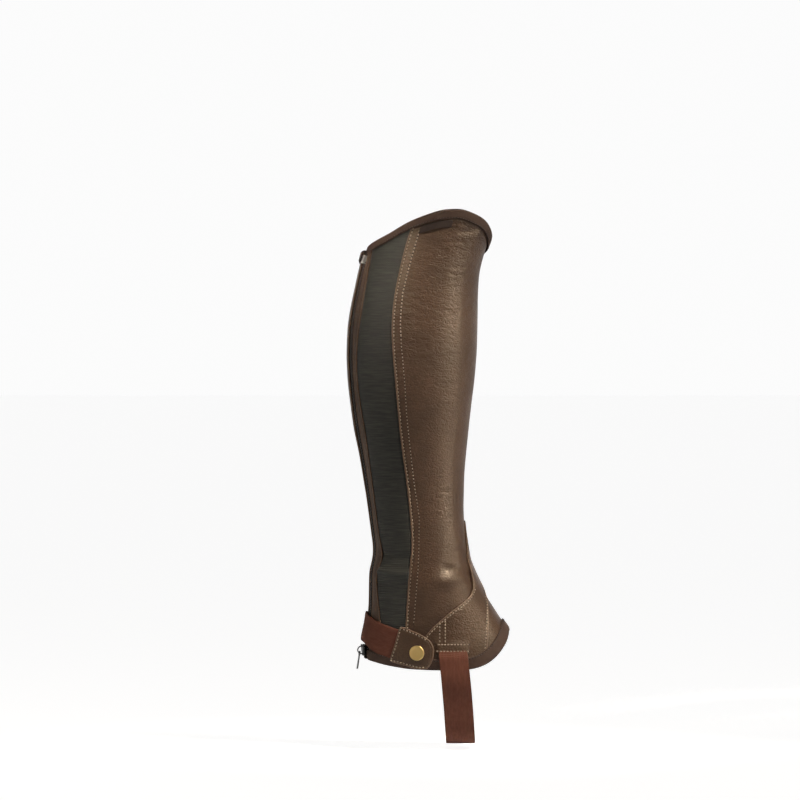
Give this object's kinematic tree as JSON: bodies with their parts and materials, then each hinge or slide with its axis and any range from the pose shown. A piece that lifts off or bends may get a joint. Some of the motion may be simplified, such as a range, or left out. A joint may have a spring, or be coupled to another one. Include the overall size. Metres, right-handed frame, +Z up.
{
  "type": "half chap",
  "caption": "Knee-high leather half chap for a right leg, hollow as worn, with a rear zip, elastic gore, heel strap with press stud, and stirrup strap.",
  "frame": {"origin": "middle of the calf's widest section, on the leg's axis", "axes": "+Z up the leg, +X forward towards the shin, -Y towards the leg's outer side"},
  "size_m": [0.1555, 0.1122, 0.5069],
  "materials": {
    "leather": "grained brown leather with a satin sheen",
    "gore_elastic": "black elastic with ribs that run across it, matt",
    "strap_elastic": "reddish-brown woven elastic, matt",
    "binding": "brown woven binding, matt",
    "zip_tape": "dark brown woven tape, matt",
    "brass": "satin brass",
    "black_metal": "glossy black paint",
    "grey_plastic": "light grey plastic"
  },
  "bodies": {
    "chap": {"main_panel": "leather", "gore": "gore_elastic", "zip_facing": "leather", "zip_tape_outer": "zip_tape", "zip_tape_inner": "zip_tape", "foot_panel_outer": "leather", "foot_panel_inner": "leather", "instep_piece": "leather", "top_binding": "binding", "hem_binding": "binding", "heel_strap": "strap_elastic", "snap_tab": "leather", "snap_cap": "brass", "stirrup_strap": "strap_elastic", "label": "binding", "zip_box": "grey_plastic", "zip_slider": "black_metal"},
    "pull": {"zip_pull": "black_metal"}
  },
  "joints": [
    {"name": "pull_swing", "type": "hinge", "parent": "chap", "child": "pull", "pos_m": [-0.04978, -0.01166, -0.30176], "axis": [-0.3109, 0.9497, -0.0365], "range_deg": [-20, 50]}
  ]
}
